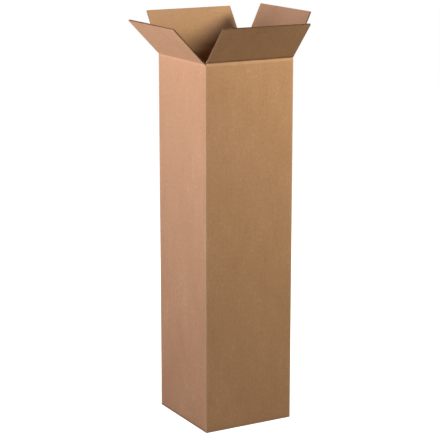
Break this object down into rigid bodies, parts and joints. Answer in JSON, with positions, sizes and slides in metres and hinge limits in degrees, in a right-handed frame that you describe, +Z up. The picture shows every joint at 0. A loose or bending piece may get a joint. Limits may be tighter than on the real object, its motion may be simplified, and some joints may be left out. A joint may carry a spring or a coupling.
{
  "type": "open cardboard box",
  "caption": "Tall square shipping carton of plain brown corrugated board, standing open with its top flaps folded outward and its bottom closed.",
  "frame": {"origin": "middle of the underside, on the surface that the carton stands on", "axes": "+Z up along the carton's height, -Y out of the front wall, +X out of the right wall"},
  "size_m": [0.4071, 0.4205, 1.1048],
  "materials": {
    "kraft_board": "matte"
  },
  "bodies": {
    "carton": {"carton_body": "kraft_board"},
    "front_flap": {"front_flap": "kraft_board"},
    "right_flap": {"right_flap": "kraft_board"},
    "back_flap": {"back_flap": "kraft_board"},
    "left_flap": {"left_flap": "kraft_board"}
  },
  "joints": [
    {"name": "front_flap_fold", "type": "hinge", "parent": "carton", "child": "front_flap", "pos_m": [0, -0.12885, 0.988], "axis": [1, 0, 0], "range_deg": [-132, 108]},
    {"name": "right_flap_fold", "type": "hinge", "parent": "carton", "child": "right_flap", "pos_m": [0.1305, 0, 0.9855], "axis": [0, 1, 0], "range_deg": [-115, 125]},
    {"name": "back_flap_fold", "type": "hinge", "parent": "carton", "child": "back_flap", "pos_m": [0, 0.12885, 0.988], "axis": [-1, 0, 0], "range_deg": [-125, 115]},
    {"name": "left_flap_fold", "type": "hinge", "parent": "carton", "child": "left_flap", "pos_m": [-0.1305, 0, 0.9855], "axis": [0, -1, 0], "range_deg": [-134, 106]}
  ]
}
